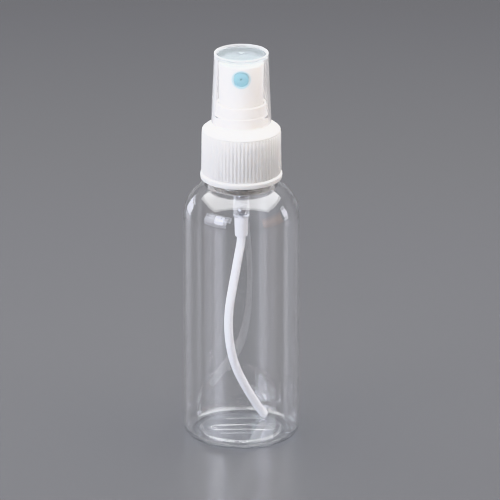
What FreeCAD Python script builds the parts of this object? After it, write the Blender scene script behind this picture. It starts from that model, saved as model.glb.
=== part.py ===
"""Spray bottle: a clear bottle with a screw closure, a finger pump and an overcap.

Millimetres, +Z up. The origin is the centre of the standing ring, and the nozzle points along -Y.
"""
import FreeCAD, Part
import math
import os
import re

import Sketcher

doc = FreeCAD.newDocument("SprayBottle")
sheet = doc.addObject("Spreadsheet::Sheet", "Dimensions")

# Driving dimensions. Heights are measured from the surface that the bottle stands on.
DIMENSIONS = [
    # bottle
    ("BodyRadius", 20.5),
    ("BodyWall", 0.7),
    ("ShoulderRound", 13.0),
    ("ShoulderCorner", 89.7),
    ("NeckRoot", 94.0),
    ("NeckRadius", 10.75),
    ("NeckBore", 8.95),
    ("LandHeight", 110.0),
    ("HeelRound", 2.8),
    ("RingInner", 15.0),
    ("PushUp", 0.9),
    ("FloorWall", 0.9),
    ("GateRadius", 1.3),
    ("RidgeHalf", 11.0),
    ("RidgeRise", 2.45),
    ("RidgeLine", 0.5),
    ("RidgeFoot", 0.45),
    # 24 mm screw finish
    ("ThreadRadius", 11.85),
    ("ThreadPitch", 3.175),
    ("ThreadTurns", 1.5),
    ("ThreadStart", 103.4),
    ("ThreadBite", 0.2),
    # closure
    ("SkirtFoot", 95.7),
    ("RimRadius", 14.4),
    ("RimBand", 1.8),
    ("SkirtRadius", 14.1),
    ("SkirtDraft", 0.2),
    ("DeckHeight", 113.6),
    ("CrownRadius", 10.4),
    ("CrownHeight", 116.3),
    ("ClosureBore", 12.15),
    ("ClosureThread", 11.05),
    ("ClosureTurns", 1.25),
    ("RibCount", 66),
    ("RibDepth", 0.48),
    # stack on the land
    ("GasketGap", 0.05),
    ("GasketTop", 111.0),
    ("FlangeTop", 112.1),
    ("FlangeRadius", 11.4),
    ("HeadTop", 113.4),
    ("HeadRadius", 6.0),
    # collar
    ("CollarFlange", 9.7),
    ("CollarFlangeTop", 114.6),
    ("CollarStep", 9.3),
    ("CollarStepTop", 119.9),
    ("CollarRadius", 8.85),
    ("CollarTop", 123.9),
    ("CollarBore", 8.05),
    ("CollarFloor", 114.2),
    ("CollarFloorTop", 115.4),
    # pump housing
    ("BarrelRadius", 4.6),
    ("BarrelBore", 3.65),
    ("BarrelFoot", 98.4),
    ("NoseRadius", 2.9),
    ("NoseBore", 2.35),
    ("NoseFoot", 80.7),
    ("RetainerSeat", 85.0),
    ("BallChamber", 1.8),
    ("SeatTop", 82.4),
    ("SeatFoot", 81.2),
    ("InletRadius", 0.9),
    ("SocketFoot", 73.8),
    ("SocketTop", 79.8),
    ("SocketRadius", 2.3),
    # valve and springs
    ("BallRadius", 1.5),
    ("BallCentre", 82.55),
    ("RetainerThick", 0.8),
    ("ReturnWire", 0.22),
    ("ReturnCoil", 1.75),
    ("ReturnTurns", 9),
    ("ClampWire", 0.2),
    ("ClampCoil", 2.5),
    ("ClampTurns", 4),
    # stem and piston
    ("StemRadius", 1.9),
    ("StemBore", 0.9),
    ("StemFoot", 105.1),
    ("StemTop", 130.5),
    ("RodRadius", 1.1),
    ("RodTip", 92.2),
    ("SpringSeat", 101.1),
    ("PistonSeat", 103.9),
    ("PistonFoot", 104.95),
    ("PistonTop", 109.0),
    ("StemCollar", 112.4),
    # actuator
    ("ButtonRadius", 7.75),
    ("ButtonWall", 1.05),
    ("ButtonFoot", 122.0),
    ("ButtonTop", 138.8),
    ("ButtonRoof", 136.8),
    ("DishRadius", 30.0),
    ("DishDepth", 0.7),
    ("BossRadius", 3.3),
    ("NozzleHeight", 134.35),
    ("NozzleBore", 2.65),
    ("NozzleBottom", 3.9),
    ("PostRadius", 1.5),
    ("PostTip", 6.9),
    ("NozzleFace", 7.5),
    ("Orifice", 0.2),
    # overcap
    ("CapFoot", 116.45),
    ("CapFootRadius", 10.6),
    ("CapTop", 141.9),
    ("CapTopRadius", 9.52),
    ("CapWall", 0.85),
    ("CapRoof", 140.6),
    ("CapDish", 0.5),
    ("CapLip", 0.55),
    ("CapGate", 1.7),
    ("CapBead", 9.36),
    ("CapBeadHeight", 119.2),
    # dip tube
    ("TubeRadius", 1.5),
    ("TubeBore", 0.95),
    ("TubeFit", 0.03),
    ("TubeTurn", 45.0),
]
for row, (alias, value) in enumerate(DIMENSIONS, start=1):
    sheet.set(f"A{row}", alias)
    sheet.set(f"B{row}", str(value))
    sheet.setAlias(f"B{row}", alias)
doc.recompute()

SIZE = {alias: float(value) for alias, value in DIMENSIONS}
ALIAS = re.compile(r"\b(" + "|".join(SIZE) + r")\b")
GEOMETRY_START = 1
ORIGIN = (-1, 1)
HORIZONTAL_AXIS = -1
VERTICAL_AXIS = -2


def bound(formula):
    """The formula with each dimension's name turned into its cell in the sheet."""
    return ALIAS.sub(r"Dimensions.\1", str(formula))


def worked_out(formula):
    """The formula's value, for placing a sketch's first geometry."""
    value = sheet.evalExpression(bound(formula))
    return float(getattr(value, "Value", value))


def origin_feature(body, role):
    return next(item for item in body.Origin.OriginFeatures if item.Role == role)


def new_body(name):
    body = doc.addObject("PartDesign::Body", name)
    body.Label = name
    return body


def new_sketch(body, name, role="XZ_Plane", offset=None):
    """A sketch on one of the body's origin planes, moved along its normal by a formula."""
    sketch = body.newObject("Sketcher::SketchObject", name)
    sketch.AttachmentSupport = (origin_feature(body, role), [""])
    sketch.MapMode = "FlatFace"
    if offset is not None:
        sketch.AttachmentOffset = FreeCAD.Placement(
            FreeCAD.Vector(0, 0, worked_out(offset)), FreeCAD.Rotation()
        )
        sketch.setExpression("AttachmentOffset.Base.z", bound(offset))
    return sketch


def pin_point(sketch, geometry, end, across, along):
    """Hold one point of a sketch at two formulas, measured from the origin."""
    for kind, axis, formula in (
        ("DistanceX", VERTICAL_AXIS, across),
        ("DistanceY", HORIZONTAL_AXIS, along),
    ):
        if str(formula) == "0":
            sketch.addConstraint(Sketcher.Constraint("PointOnObject", geometry, end, axis))
            continue
        index = sketch.addConstraint(
            Sketcher.Constraint(kind, *ORIGIN, geometry, end, worked_out(formula))
        )
        sketch.setExpression(f"Constraints[{index}]", bound(formula))


def draw_outline(sketch, corners):
    """A closed outline of straight lines, each corner held at (across, along)."""
    places = [FreeCAD.Vector(worked_out(x), worked_out(y), 0) for x, y in corners]
    first = sketch.GeometryCount
    for start, end in zip(places, places[1:] + places[:1]):
        sketch.addGeometry(Part.LineSegment(start, end), False)
    for step in range(len(corners)):
        following = first + (step + 1) % len(corners)
        sketch.addConstraint(Sketcher.Constraint("Coincident", first + step, 2, following, 1))
    for step, (across, along) in enumerate(corners):
        pin_point(sketch, first + step, GEOMETRY_START, across, along)


def draw_circle(sketch, across, along, radius):
    centre = FreeCAD.Vector(worked_out(across), worked_out(along), 0)
    up = FreeCAD.Vector(0, 0, 1)
    index = sketch.addGeometry(Part.Circle(centre, up, worked_out(radius)), False)
    pin_point(sketch, index, 3, across, along)
    size = sketch.addConstraint(Sketcher.Constraint("Radius", index, worked_out(radius)))
    sketch.setExpression(f"Constraints[{size}]", bound(radius))


def turned(body, name, corners, groove=False):
    """A shape turned about Z from an outline of (radius, height) corners."""
    sketch = new_sketch(body, name + "Outline")
    draw_outline(sketch, corners)
    kind = "PartDesign::Groove" if groove else "PartDesign::Revolution"
    feature = body.newObject(kind, name)
    feature.Profile = sketch
    feature.ReferenceAxis = (sketch, ["V_Axis"])
    feature.Angle = 360
    finish(body, feature, removes=groove)
    return feature


def finish(body, feature, removes=None):
    """Recompute, make the feature the body's tip, and see that it changed the volume."""
    before = body.Shape.Volume if not body.Shape.isNull() else 0.0
    doc.recompute()
    body.Tip = feature
    doc.recompute()
    after = body.Shape.Volume
    if removes is True and not after < before:
        raise RuntimeError(f"{feature.Name} cuts nothing")
    if removes is False and not after > before:
        raise RuntimeError(f"{feature.Name} adds nothing")


def cut_through(body, name, sketch, length, both_ways=False, away=False):
    """A pocket of a stated length from its sketch."""
    pocket = body.newObject("PartDesign::Pocket", name)
    pocket.Profile = sketch
    pocket.Type = "Length"
    pocket.Length = worked_out(length)
    pocket.setExpression("Length", bound(length))
    pocket.Midplane = both_ways
    pocket.Reversed = away
    finish(body, pocket, removes=True)
    return pocket


def raised(body, name, sketch, length, away=False):
    """A pad of a stated length from its sketch."""
    pad = body.newObject("PartDesign::Pad", name)
    pad.Profile = sketch
    pad.Type = "Length"
    pad.Length = worked_out(length)
    pad.setExpression("Length", bound(length))
    pad.Reversed = away
    finish(body, pad, removes=False)
    return pad


def round_edges(body, name, radius, rings, kind="PartDesign::Fillet"):
    """Round, or chamfer, the circular edges that lie at the given (radius, height)."""
    wanted = [(worked_out(r), worked_out(z)) for r, z in rings]
    found = []
    for number, edge in enumerate(body.Shape.Edges, start=1):
        curve = edge.Curve
        if not isinstance(curve, Part.Circle):
            continue
        for ring_radius, height in wanted:
            if abs(curve.Radius - ring_radius) < 0.01 and abs(curve.Center.z - height) < 0.01:
                found.append(f"Edge{number}")
    if len(found) < len(wanted):
        raise RuntimeError(f"{name}: found {len(found)} of {len(wanted)} edges")
    dress_up(body, name, radius, found, kind)


def dress_up(body, name, radius, edges, kind):
    base = body.Tip
    feature = body.newObject(kind, name)
    feature.Base = (base, edges)
    size_name = "Radius" if kind.endswith("Fillet") else "Size"
    setattr(feature, size_name, worked_out(radius))
    feature.setExpression(size_name, bound(radius))
    finish(body, feature)


def around(body, name, original, count):
    """Repeat a feature evenly about Z."""
    pattern = body.newObject("PartDesign::PolarPattern", name)
    pattern.Originals = [original]
    pattern.Axis = (origin_feature(body, "Z_Axis"), [""])
    pattern.Angle = 360
    pattern.Occurrences = int(worked_out(count))
    pattern.setExpression("Occurrences", bound(count))
    finish(body, pattern)


def helix(body, name, sketch, pitch, rise):
    """A right-handed helical sweep of a sketch about Z."""
    sweep = body.newObject("PartDesign::AdditiveHelix", name)
    sweep.Profile = sketch
    sweep.ReferenceAxis = (sketch, ["V_Axis"])
    sweep.Mode = "pitch-height-angle"
    sweep.Pitch = worked_out(pitch)
    sweep.Height = worked_out(rise)
    sweep.setExpression("Pitch", bound(pitch))
    sweep.setExpression("Height", bound(rise))
    sweep.LeftHanded = False
    finish(body, sweep, removes=False)


def coil_spring(name, wire, coil, foot, top, turns):
    """A compression spring of round wire between two heights."""
    body = new_body(name)
    sketch = new_sketch(body, name + "Wire")
    draw_circle(sketch, coil, f"({foot}) + {wire}", wire)
    rise = f"(({top}) - ({foot}) - 2 * {wire})"
    helix(body, name + "Coil", sketch, f"{rise} / {turns}", rise)
    return body


def ridge_corners(inset):
    """Corners of the long eight-sided ridge under the base, drawn in by an inset."""
    half = f"RidgeHalf - {inset}"
    rise = f"RidgeRise - {inset}"
    shoulder = "RidgeHalf - 1.4"
    return [
        (f"-({shoulder})", f"-({rise})"),
        (shoulder, f"-({rise})"),
        (half, f"-({rise}) * 0.45"),
        (half, f"({rise}) * 0.45"),
        (shoulder, rise),
        (f"-({shoulder})", rise),
        (f"-({half})", f"({rise}) * 0.45"),
        (f"-({half})", f"-({rise}) * 0.45"),
    ]


def bottle():
    """Blown bottle: thin body and base, thicker neck with one screw thread."""
    body = new_body("bottle")
    root = "NeckRadius + 0.15"
    turned(body, "BottleOutside", [
        ("0", "PushUp"),
        ("GateRadius", "PushUp"),
        ("RingInner - 0.9", "PushUp * 0.6"),
        ("RingInner", "0"),
        ("BodyRadius", "0"),
        ("BodyRadius", "ShoulderCorner"),
        (root, "NeckRoot"),
        ("NeckRadius", "NeckRoot + 0.9"),
        ("NeckRadius", "LandHeight"),
        ("0", "LandHeight"),
    ])
    inside = "BodyRadius - BodyWall"
    turned(body, "BottleInside", [
        ("0", "PushUp + FloorWall"),
        ("RingInner - 1.4", "PushUp * 0.6 + FloorWall"),
        ("RingInner - 0.3", "FloorWall"),
        (inside, "FloorWall"),
        (inside, "ShoulderCorner - BodyWall * 0.75"),
        ("NeckBore + 0.5", "NeckRoot - 0.5"),
        ("NeckBore", "NeckRoot + 1.2"),
        ("NeckBore", "LandHeight + 1"),
        ("0", "LandHeight + 1"),
    ], groove=True)
    round_edges(
        body, "ShoulderInside", "ShoulderRound - BodyWall",
        [(inside, "ShoulderCorner - BodyWall * 0.75")],
    )
    round_edges(body, "HeelInside", "HeelRound - BodyWall", [(inside, "FloorWall")])
    round_edges(body, "ShoulderOutside", "ShoulderRound", [("BodyRadius", "ShoulderCorner")])
    round_edges(body, "HeelOutside", "HeelRound", [("BodyRadius", "0")])
    gate = new_sketch(body, "GateCircle", "XY_Plane", "PushUp - 0.35")
    draw_circle(gate, "0", "0", "GateRadius * 0.75")
    raised(body, "GateMark", gate, "0.5")
    ridge = new_sketch(body, "BaseRidgeShape", "XY_Plane", "RidgeFoot")
    for inset in ("0", "RidgeLine"):
        draw_outline(ridge, ridge_corners(inset))
    raised(body, "BaseRidge", ridge, "PushUp + 0.3 - RidgeFoot")
    thread = new_sketch(body, "ThreadShape")
    draw_outline(thread, [
        ("NeckRadius - ThreadBite", "ThreadStart - 0.85"),
        ("ThreadRadius", "ThreadStart - 0.4"),
        ("ThreadRadius", "ThreadStart + 0.4"),
        ("NeckRadius - ThreadBite", "ThreadStart + 0.85"),
    ])
    helix(body, "NeckThread", thread, "ThreadPitch", "ThreadPitch * ThreadTurns")


def closure():
    """Ribbed screw closure: its crown holds the collar's flange down on the land."""
    body = new_body("closure")
    hole = "CollarStep + 0.08"
    pocket = "CollarFlange + 0.3"
    deck_edge = "SkirtRadius - SkirtDraft"
    turned(body, "ClosureShell", [
        ("ClosureBore", "SkirtFoot"),
        ("RimRadius", "SkirtFoot"),
        ("RimRadius", "SkirtFoot + RimBand"),
        ("SkirtRadius", "SkirtFoot + RimBand + 0.3"),
        (deck_edge, "DeckHeight"),
        (f"{deck_edge} - 0.7", "DeckHeight + 0.15"),
        ("CrownRadius", "CrownHeight"),
        (hole, "CrownHeight"),
        (hole, "CollarFlangeTop + 0.15"),
        (pocket, "CollarFlangeTop + 0.15"),
        (pocket, "FlangeTop + 0.2"),
        ("ClosureBore", "FlangeTop + 0.2"),
    ])
    round_edges(body, "DeckEdge", "0.55", [(deck_edge, "DeckHeight")])
    round_edges(body, "RimFoot", "0.4", [("RimRadius", "SkirtFoot")])
    valley = new_sketch(body, "ValleyShape", "XY_Plane", "SkirtFoot + RimBand + 0.35")
    draw_outline(valley, [
        ("SkirtRadius - RibDepth", "-0.16"),
        ("SkirtRadius + 0.3", "-0.55"),
        ("SkirtRadius + 0.3", "0.55"),
        ("SkirtRadius - RibDepth", "0.16"),
    ])
    reach = "DeckHeight - SkirtFoot - RimBand - 0.95"
    first = cut_through(body, "Valley", valley, reach, away=True)
    around(body, "Valleys", first, "RibCount")
    low = "ThreadStart - ThreadPitch / 2"
    thread = new_sketch(body, "ClosureThreadShape")
    draw_outline(thread, [
        ("ClosureBore + ThreadBite", f"{low} - 0.85"),
        ("ClosureThread", f"{low} - 0.4"),
        ("ClosureThread", f"{low} + 0.4"),
        ("ClosureBore + ThreadBite", f"{low} + 0.85"),
    ])
    helix(body, "ClosureThreadRun", thread, "ThreadPitch", "ThreadPitch * ClosureTurns")


def neck_gasket():
    """Soft ring between the housing's flange and the bottle's land."""
    body = new_body("neck_gasket")
    turned(body, "GasketRing", [
        ("6.5", "LandHeight + GasketGap"),
        ("FlangeRadius", "LandHeight + GasketGap"),
        ("FlangeRadius", "GasketTop"),
        ("6.5", "GasketTop"),
    ])


def pump_housing():
    """Cylinder of the pump, with its flange, valve seat and dip tube socket."""
    body = new_body("pump_housing")
    turned(body, "HousingShell", [
        ("TubeRadius + TubeFit", "SocketFoot"),
        ("SocketRadius - 0.15", "SocketFoot"),
        ("SocketRadius", "SocketFoot + 0.5"),
        ("SocketRadius + 0.15", "NoseFoot - 0.3"),
        ("NoseRadius", "NoseFoot"),
        ("NoseRadius", "BarrelFoot - 3.4"),
        ("BarrelRadius", "BarrelFoot - 1.4"),
        ("BarrelRadius", "GasketTop"),
        ("FlangeRadius", "GasketTop"),
        ("FlangeRadius", "FlangeTop"),
        ("HeadRadius", "FlangeTop"),
        ("HeadRadius", "HeadTop"),
        ("BarrelBore", "HeadTop"),
        ("BarrelBore", "BarrelFoot"),
        ("NoseBore", "BarrelFoot - 1.2"),
        ("NoseBore", "RetainerSeat"),
        ("BallChamber", "RetainerSeat"),
        ("BallChamber", "SeatTop"),
        ("InletRadius", "SeatFoot"),
        ("InletRadius", "SocketTop"),
        ("TubeRadius + TubeFit", "SocketTop"),
    ])
    vent = new_sketch(body, "VentCircle", "XZ_Plane")
    draw_circle(vent, "0", "PistonTop - 1.5", "0.4")
    cut_through(body, "VentHole", vent, "BarrelRadius + 1", away=True)


def ball_retainer():
    """Notched disc that keeps the inlet ball down and carries the return spring."""
    body = new_body("ball_retainer")
    turned(body, "RetainerDisc", [
        ("0.7", "RetainerSeat"),
        ("NoseBore - 0.02", "RetainerSeat"),
        ("NoseBore - 0.02", "RetainerSeat + RetainerThick"),
        ("0.7", "RetainerSeat + RetainerThick"),
    ])
    notch = new_sketch(body, "NotchShape", "XY_Plane", "RetainerSeat - 0.1")
    draw_outline(notch, [
        ("1.2", "-0.3"),
        ("NoseBore + 0.2", "-0.3"),
        ("NoseBore + 0.2", "0.3"),
        ("1.2", "0.3"),
    ])
    first = cut_through(body, "Notch", notch, "RetainerThick + 0.2", away=True)
    around(body, "Notches", first, "4")


def lower_stem():
    """Plug of the stem: rod inside the return spring, spring seat and piston seat."""
    body = new_body("lower_stem")
    turned(body, "LowerStemShape", [
        ("0", "RodTip"),
        ("RodRadius - 0.4", "RodTip"),
        ("RodRadius", "RodTip + 0.6"),
        ("RodRadius", "SpringSeat"),
        ("NoseBore - 0.25", "SpringSeat"),
        ("NoseBore - 0.25", "SpringSeat + 1"),
        ("RodRadius + 0.3", "SpringSeat + 1"),
        ("RodRadius + 0.3", "PistonSeat"),
        ("StemRadius + 0.7", "PistonSeat"),
        ("StemRadius + 0.7", "PistonFoot - 0.05"),
        ("StemBore", "PistonFoot - 0.05"),
        ("StemBore", "StemFoot + 2.4"),
        ("0", "StemFoot + 2.4"),
    ])
    flat = new_sketch(body, "FlatShape", "XY_Plane", "PistonFoot")
    draw_outline(flat, [
        ("StemBore - 0.3", "-1"),
        ("StemBore + 0.2", "-1"),
        ("StemBore + 0.2", "1"),
        ("StemBore - 0.3", "1"),
    ])
    cut_through(body, "PlugFlat", flat, "StemFoot + 3 - PistonFoot", away=True)


def upper_stem():
    """Hollow stem with its stop collar; its foot is notched to let liquid in."""
    body = new_body("upper_stem")
    turned(body, "UpperStemShape", [
        ("StemBore", "StemFoot"),
        ("StemRadius", "StemFoot"),
        ("StemRadius", "StemCollar"),
        ("StemRadius + 1", "StemCollar"),
        ("StemRadius + 1", "HeadTop - 0.1"),
        ("StemRadius", "HeadTop - 0.1"),
        ("StemRadius", "StemTop"),
        ("StemBore", "StemTop"),
    ])
    notch = new_sketch(body, "StemNotchShape", "YZ_Plane")
    draw_outline(notch, [
        ("-0.4", "StemFoot - 0.2"),
        ("0.4", "StemFoot - 0.2"),
        ("0.4", "StemFoot + 1"),
        ("-0.4", "StemFoot + 1"),
    ])
    cut_through(body, "StemNotch", notch, "3 * StemRadius", both_ways=True)


def piston():
    """Piston with a lip at each end; it slips on the stem to open the outlet."""
    body = new_body("piston")
    lip = "BarrelBore - 0.05"
    waist = "BarrelBore - 0.45"
    turned(body, "PistonShape", [
        ("StemRadius + 0.05", "PistonFoot"),
        (lip, "PistonFoot"),
        (lip, "PistonFoot + 0.6"),
        (waist, "PistonFoot + 1"),
        (waist, "PistonTop - 1"),
        (lip, "PistonTop - 0.6"),
        (lip, "PistonTop"),
        ("StemRadius + 0.05", "PistonTop"),
    ])


def stem_seal():
    """Ring under the collar's floor that wipes the stem."""
    body = new_body("stem_seal")
    turned(body, "StemSealRing", [
        ("StemRadius + 0.05", "HeadTop + 0.02"),
        ("HeadRadius - 0.1", "HeadTop + 0.02"),
        ("HeadRadius - 0.1", "CollarFloor - 0.02"),
        ("StemRadius + 0.05", "CollarFloor - 0.02"),
    ])


def collar():
    """Turret that clamps the housing's head; the overcap grips its lower ring."""
    body = new_body("collar")
    turned(body, "CollarShape", [
        ("CollarFlange", "FlangeTop + 0.05"),
        ("CollarFlange", "CollarFlangeTop"),
        ("CollarStep", "CollarFlangeTop"),
        ("CollarStep", "CollarStepTop"),
        ("CollarRadius", "CollarStepTop"),
        ("CollarRadius", "CollarTop"),
        ("CollarBore", "CollarTop"),
        ("CollarBore", "CollarFloorTop"),
        ("StemRadius + 0.1", "CollarFloorTop"),
        ("StemRadius + 0.1", "CollarFloor"),
        ("HeadRadius + 0.05", "CollarFloor"),
        ("HeadRadius + 0.05", "FlangeTop + 0.05"),
    ])
    round_edges(body, "CollarLip", "0.3", [("CollarRadius", "CollarTop")])
    round_edges(body, "CollarLedge", "0.2", [("CollarStep", "CollarStepTop")])


def actuator():
    """Finger button: skirt, stem socket, nozzle bore with its post, and a dished pad."""
    body = new_body("actuator")
    inner = "ButtonRadius - ButtonWall"
    turned(body, "ButtonShell", [
        (inner, "ButtonFoot"),
        ("ButtonRadius", "ButtonFoot"),
        ("ButtonRadius", "ButtonTop"),
        ("0", "ButtonTop"),
        ("0", "StemTop + 0.05"),
        ("StemRadius", "StemTop + 0.05"),
        ("StemRadius", "ButtonFoot + 0.3"),
        ("BossRadius", "ButtonFoot + 0.3"),
        ("BossRadius", "ButtonRoof"),
        (inner, "ButtonRoof"),
    ])
    block = new_sketch(body, "NozzleBlockShape", "XZ_Plane", "2")
    draw_circle(block, "0", "NozzleHeight", "NozzleBore + 0.75")
    raised(body, "NozzleBlock", block, f"{inner} - 1.9")
    bore = new_sketch(body, "NozzleBoreShape", "XZ_Plane", "NozzleBottom")
    draw_circle(bore, "0", "NozzleHeight", "NozzleBore")
    draw_circle(bore, "0", "NozzleHeight", "PostRadius")
    cut_through(body, "NozzleBoreCut", bore, "ButtonRadius", away=True)
    tip = new_sketch(body, "PostTipShape", "XZ_Plane", "PostTip")
    draw_circle(tip, "0", "NozzleHeight", "NozzleBore - 0.2")
    cut_through(body, "PostTipCut", tip, "ButtonRadius", away=True)
    riser = new_sketch(body, "RiserCircle", "XY_Plane", "StemTop - 0.1")
    draw_circle(riser, "0", "0", "StemBore")
    cut_through(body, "Riser", riser, "NozzleHeight - StemTop - 1.2", away=True)
    feed = new_sketch(body, "FeedCircle", "XZ_Plane")
    draw_circle(feed, "0", "NozzleHeight - PostRadius - 0.55", "0.45")
    cut_through(body, "Feed", feed, "NozzleBottom + 0.3", away=True)
    mouth = [
        f"Edge{number}"
        for number, edge in enumerate(body.Shape.Edges, start=1)
        if is_nozzle_mouth(edge)
    ]
    dress_up(body, "NozzleMouth", "0.5", mouth, "PartDesign::Chamfer")
    round_edges(body, "ButtonEdge", "0.4", [("ButtonRadius", "ButtonTop")])
    dish = doc.addObject("Part::Sphere", "DishBall")
    dish.setExpression("Radius", bound("DishRadius"))
    dish.setExpression("Placement.Base.z", bound("ButtonTop + DishRadius - DishDepth"))
    dished = doc.addObject("Part::Cut", "actuator_dished")
    dished.Base = body
    dished.Tool = dish
    body.Label = "actuator_blank"
    dished.Label = "actuator"


def is_nozzle_mouth(edge):
    """True for an edge of the nozzle bore that lies in the button's outer wall."""
    box = edge.BoundBox
    on_front = box.YMax < -SIZE["ButtonRadius"] * 0.88
    wide = abs(box.ZLength - 2 * SIZE["NozzleBore"]) < 0.05
    half = abs(box.ZLength - SIZE["NozzleBore"]) < 0.05
    bent = box.YLength > 0.1
    return on_front and bent and (wide or half)


def nozzle_insert():
    """Swirl nozzle pressed over the post, with its orifice in a shallow cone."""
    body = new_body("nozzle_insert")
    outside = new_sketch(body, "InsertCircle", "XZ_Plane", "NozzleBottom + 0.1")
    draw_circle(outside, "0", "NozzleHeight", "NozzleBore - 0.03")
    raised(body, "InsertDrum", outside, "NozzleFace - NozzleBottom - 0.1")
    inside = new_sketch(body, "InsertBoreCircle", "XZ_Plane", "NozzleBottom - 0.1")
    draw_circle(inside, "0", "NozzleHeight", "PostRadius + 0.05")
    cut_through(body, "InsertBore", inside, "PostTip - NozzleBottom + 0.2", away=True)
    hole = new_sketch(body, "OrificeCircle", "XZ_Plane", "NozzleBottom")
    draw_circle(hole, "0", "NozzleHeight", "Orifice")
    cut_through(body, "OrificeHole", hole, "ButtonRadius", away=True)
    rim = [
        f"Edge{number}"
        for number, edge in enumerate(body.Shape.Edges, start=1)
        if isinstance(edge.Curve, Part.Circle)
        and abs(edge.Curve.Radius - SIZE["Orifice"]) < 0.01
        and edge.BoundBox.YMax < -SIZE["NozzleFace"] + 0.01
    ]
    dress_up(body, "OrificeCone", "0.25", rim, "PartDesign::Chamfer")


def overcap():
    """Clear tapered cover with a dished top and a bead that grips the collar."""
    body = new_body("overcap")
    turned(body, "CapShell", [
        ("CapFootRadius - CapWall", "CapFoot"),
        ("CapFootRadius", "CapFoot"),
        ("CapTopRadius", "CapTop"),
        ("CapTopRadius - CapLip", "CapTop"),
        ("CapTopRadius - CapLip - 0.1", "CapTop - CapDish"),
        ("0", "CapTop - CapDish"),
        ("0", "CapRoof"),
        ("CapTopRadius - CapWall", "CapRoof"),
        ("CapFootRadius - CapWall - 0.1", "CapBeadHeight + 0.5"),
        ("CapBead", "CapBeadHeight + 0.15"),
        ("CapBead", "CapBeadHeight - 0.15"),
        ("CapFootRadius - CapWall", "CapBeadHeight - 0.5"),
    ])
    round_edges(body, "CapTopEdge", "0.35", [("CapTopRadius", "CapTop")])
    round_edges(body, "CapRoofCorner", "0.5", [("CapTopRadius - CapWall", "CapRoof")])
    turned(body, "CapGateDimple", [
        ("0", "CapTop - CapDish - 0.1"),
        ("CapGate * 0.25", "CapTop - CapDish - 0.1"),
        ("CapGate * 0.3", "CapTop - CapDish - 0.3"),
        ("CapGate", "CapTop - CapDish"),
        ("CapGate", "CapTop - CapDish + 0.2"),
        ("0", "CapTop - CapDish + 0.2"),
    ], groove=True)


# The dip tube lies in one plane: a straight start in the socket, then tangent arcs.
# Each stretch is (kind, length in mm, turn in degrees); a positive turn bends it forwards.
TUBE_STRETCHES = [
    ("run", 5.9, 0.0),
    ("arc", 3.6, 14.6),
    ("run", 18.1, 0.0),
    ("arc", 32.3, -43.8),
    ("arc", 22.2, -10.0),
]


def tube_path():
    """The tube's centre line, as a wire that starts in the socket and ends near the floor."""
    place = FreeCAD.Vector(0, 0, SIZE["SocketTop"] - 0.1)
    heading = 0.0
    edges = []
    for kind, length, turn in TUBE_STRETCHES:
        def ahead(angle):
            return FreeCAD.Vector(-math.sin(angle), 0, -math.cos(angle))

        bend = math.radians(turn)
        chord = length if kind == "run" else length * math.sin(bend / 2) / (bend / 2)
        end = place + ahead(heading + bend / 2) * chord
        if kind == "run":
            edges.append(Part.LineSegment(place, end).toShape())
        else:
            half = length / 2
            half_chord = half * math.sin(bend / 4) / (bend / 4)
            middle = place + ahead(heading + bend / 4) * half_chord
            edges.append(Part.Arc(place, middle, end).toShape())
            print(f"dip tube arc radius {abs(length / bend):.1f}")
        place = end
        heading += bend
    return Part.Wire(edges)


def dip_tube():
    """Polyethylene tube with the curve of its own set, leaning across the bottle."""
    path = tube_path()
    start = FreeCAD.Vector(0, 0, SIZE["SocketTop"] - 0.1)
    down = FreeCAD.Vector(0, 0, -1)

    def swept(radius):
        ring = Part.Wire([Part.makeCircle(radius, start, down)])
        return path.makePipeShell([ring], True, False)

    outside = swept(SIZE["TubeRadius"])
    tube = outside.cut(swept(SIZE["TubeBore"]))
    section = math.pi * (SIZE["TubeRadius"] ** 2 - SIZE["TubeBore"] ** 2)
    print(f"dip tube length {path.Length:.1f}, volume over section {tube.Volume / section:.1f}")
    feature = doc.addObject("Part::Feature", "dip_tube")
    feature.Label = "dip_tube"
    feature.Shape = tube
    feature.Placement = FreeCAD.Placement(
        FreeCAD.Vector(), FreeCAD.Rotation(FreeCAD.Vector(0, 0, 1), SIZE["TubeTurn"])
    )


def inlet_ball():
    """Steel ball of the inlet valve, resting on its cone."""
    ball = doc.addObject("Part::Sphere", "inlet_ball")
    ball.Label = "inlet_ball"
    ball.setExpression("Radius", bound("BallRadius"))
    ball.setExpression("Placement.Base.z", bound("BallCentre"))


bottle()
closure()
neck_gasket()
pump_housing()
ball_retainer()
lower_stem()
upper_stem()
piston()
stem_seal()
collar()
actuator()
nozzle_insert()
overcap()
dip_tube()
inlet_ball()
coil_spring(
    "return_spring", "ReturnWire", "ReturnCoil",
    "RetainerSeat + RetainerThick", "SpringSeat", "ReturnTurns",
)
coil_spring(
    "precompression_spring", "ClampWire", "ClampCoil",
    "PistonTop + 0.02", "StemCollar", "ClampTurns",
)
doc.recompute()

NODES = [
    "bottle", "closure", "neck_gasket", "pump_housing", "ball_retainer", "lower_stem",
    "upper_stem", "piston", "stem_seal", "collar", "actuator", "nozzle_insert", "overcap",
    "dip_tube", "inlet_ball", "return_spring", "precompression_spring",
]

for item in doc.Objects:
    if "Invalid" in item.State or "Error" in item.State:
        raise RuntimeError(f"{item.Name} did not recompute: {item.State}")

os.makedirs("parts", exist_ok=True)
for node in NODES:
    piece = doc.getObjectsByLabel(node)[0]
    shape = piece.Shape
    if shape.isNull() or not shape.isValid():
        raise RuntimeError(f"{node} has no valid shape")
    if len(shape.Solids) != 1:
        raise RuntimeError(f"{node} has {len(shape.Solids)} solids")
    shape.exportStep(f"parts/{node}.step")
    print(f"{node:24s} {shape.Volume:9.1f} mm3")
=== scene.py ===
import math

import bmesh
import bpy
from mathutils import Matrix, Vector


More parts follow.
